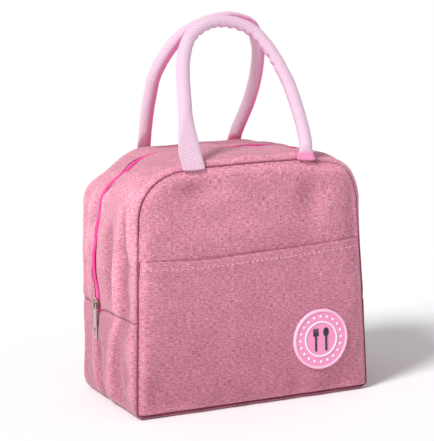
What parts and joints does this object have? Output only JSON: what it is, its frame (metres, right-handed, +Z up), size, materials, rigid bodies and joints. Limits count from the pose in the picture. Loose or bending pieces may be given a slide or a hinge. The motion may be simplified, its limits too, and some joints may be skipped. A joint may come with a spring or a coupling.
{
  "type": "insulated lunch bag",
  "caption": "Soft insulated lunch bag with a zipped mouth, a full-width front pocket, a round moulded badge and folded webbing carry handles.",
  "frame": {"origin": "on the floor under the middle of the bag: the centre of the base's underside", "axes": "+X to the right seen from the front, +Y from the pocket towards the back, +Z up"},
  "size_m": [0.2199, 0.1258, 0.3163],
  "materials": {
    "cloth": "woven, mottled",
    "foam": "closed-cell foam",
    "foil": "foil laminate",
    "binding": "woven tape",
    "webbing": "woven webbing",
    "zip_tape": "woven tape",
    "zip_nylon": "nylon coil",
    "nickel": "nickel plate",
    "badge_pink": "soft moulded plastic",
    "badge_white": "soft moulded plastic",
    "badge_charcoal": "soft moulded plastic"
  },
  "bodies": {
    "lower_body": {"base_panel": "cloth", "base_foam": "foam", "base_lining": "foil", "left_side_panel": "cloth", "left_side_foam": "foam", "left_side_lining": "foil", "right_side_panel": "cloth", "right_side_foam": "foam", "right_side_lining": "foil", "front_panel_lower": "cloth", "front_foam_lower": "foam", "front_lining_lower": "foil", "back_panel_lower": "cloth", "back_foam_lower": "foam", "back_lining_lower": "foil", "front_binding_lower": "binding", "back_binding_lower": "binding", "pocket_lower": "cloth", "badge_base": "badge_pink", "badge_rings": "badge_white", "badge_motif": "badge_charcoal", "left_zip_end": "zip_nylon", "right_zip_end": "zip_nylon"},
    "front_half": {"front_panel_upper": "cloth", "front_foam_upper": "foam", "front_lining_upper": "foil", "front_zip_gusset": "cloth", "front_zip_gusset_foam": "foam", "front_zip_gusset_lining": "foil", "front_binding_upper": "binding", "front_zip_tape": "zip_tape", "front_zip_coil": "zip_nylon", "pocket_upper": "cloth", "front_handle_ends": "webbing"},
    "rear_half": {"back_panel_upper": "cloth", "back_foam_upper": "foam", "back_lining_upper": "foil", "rear_zip_gusset": "cloth", "rear_zip_gusset_foam": "foam", "rear_zip_gusset_lining": "foil", "back_binding_upper": "binding", "rear_zip_tape": "zip_tape", "rear_zip_coil": "zip_nylon", "rear_handle_ends": "webbing"},
    "front_handle": {"front_handle": "webbing"},
    "rear_handle": {"rear_handle": "webbing"},
    "zip_slider": {"zip_slider": "nickel"},
    "zip_pull": {"zip_pull": "nickel"}
  },
  "joints": [
    {"name": "front_mouth", "type": "hinge", "parent": "lower_body", "child": "front_half", "pos_m": [0, -0.0617, 0.076], "axis": [1, 0, 0], "range_deg": [0, 22]},
    {"name": "rear_mouth", "type": "hinge", "parent": "lower_body", "child": "rear_half", "pos_m": [0, 0.06, 0.076], "axis": [-1, 0, 0], "range_deg": [0, 22]},
    {"name": "front_handle_swing", "type": "hinge", "parent": "front_half", "child": "front_handle", "pos_m": [0, -0.061, 0.2016], "axis": [1, 0, 0], "range_deg": [0, 175]},
    {"name": "rear_handle_swing", "type": "hinge", "parent": "rear_half", "child": "rear_handle", "pos_m": [0, 0.061, 0.2016], "axis": [-1, 0, 0], "range_deg": [0, 175]},
    {"name": "zip_slide", "type": "slide", "parent": "lower_body", "child": "zip_slider", "axis": [-0.0175, 0, 0.9998], "range_m": [0, 0.06]},
    {"name": "pull_swing", "type": "hinge", "parent": "zip_slider", "child": "zip_pull", "pos_m": [-0.10939, 0.016, 0.0826], "axis": [0, 1, 0], "range_deg": [0, 160]}
  ]
}
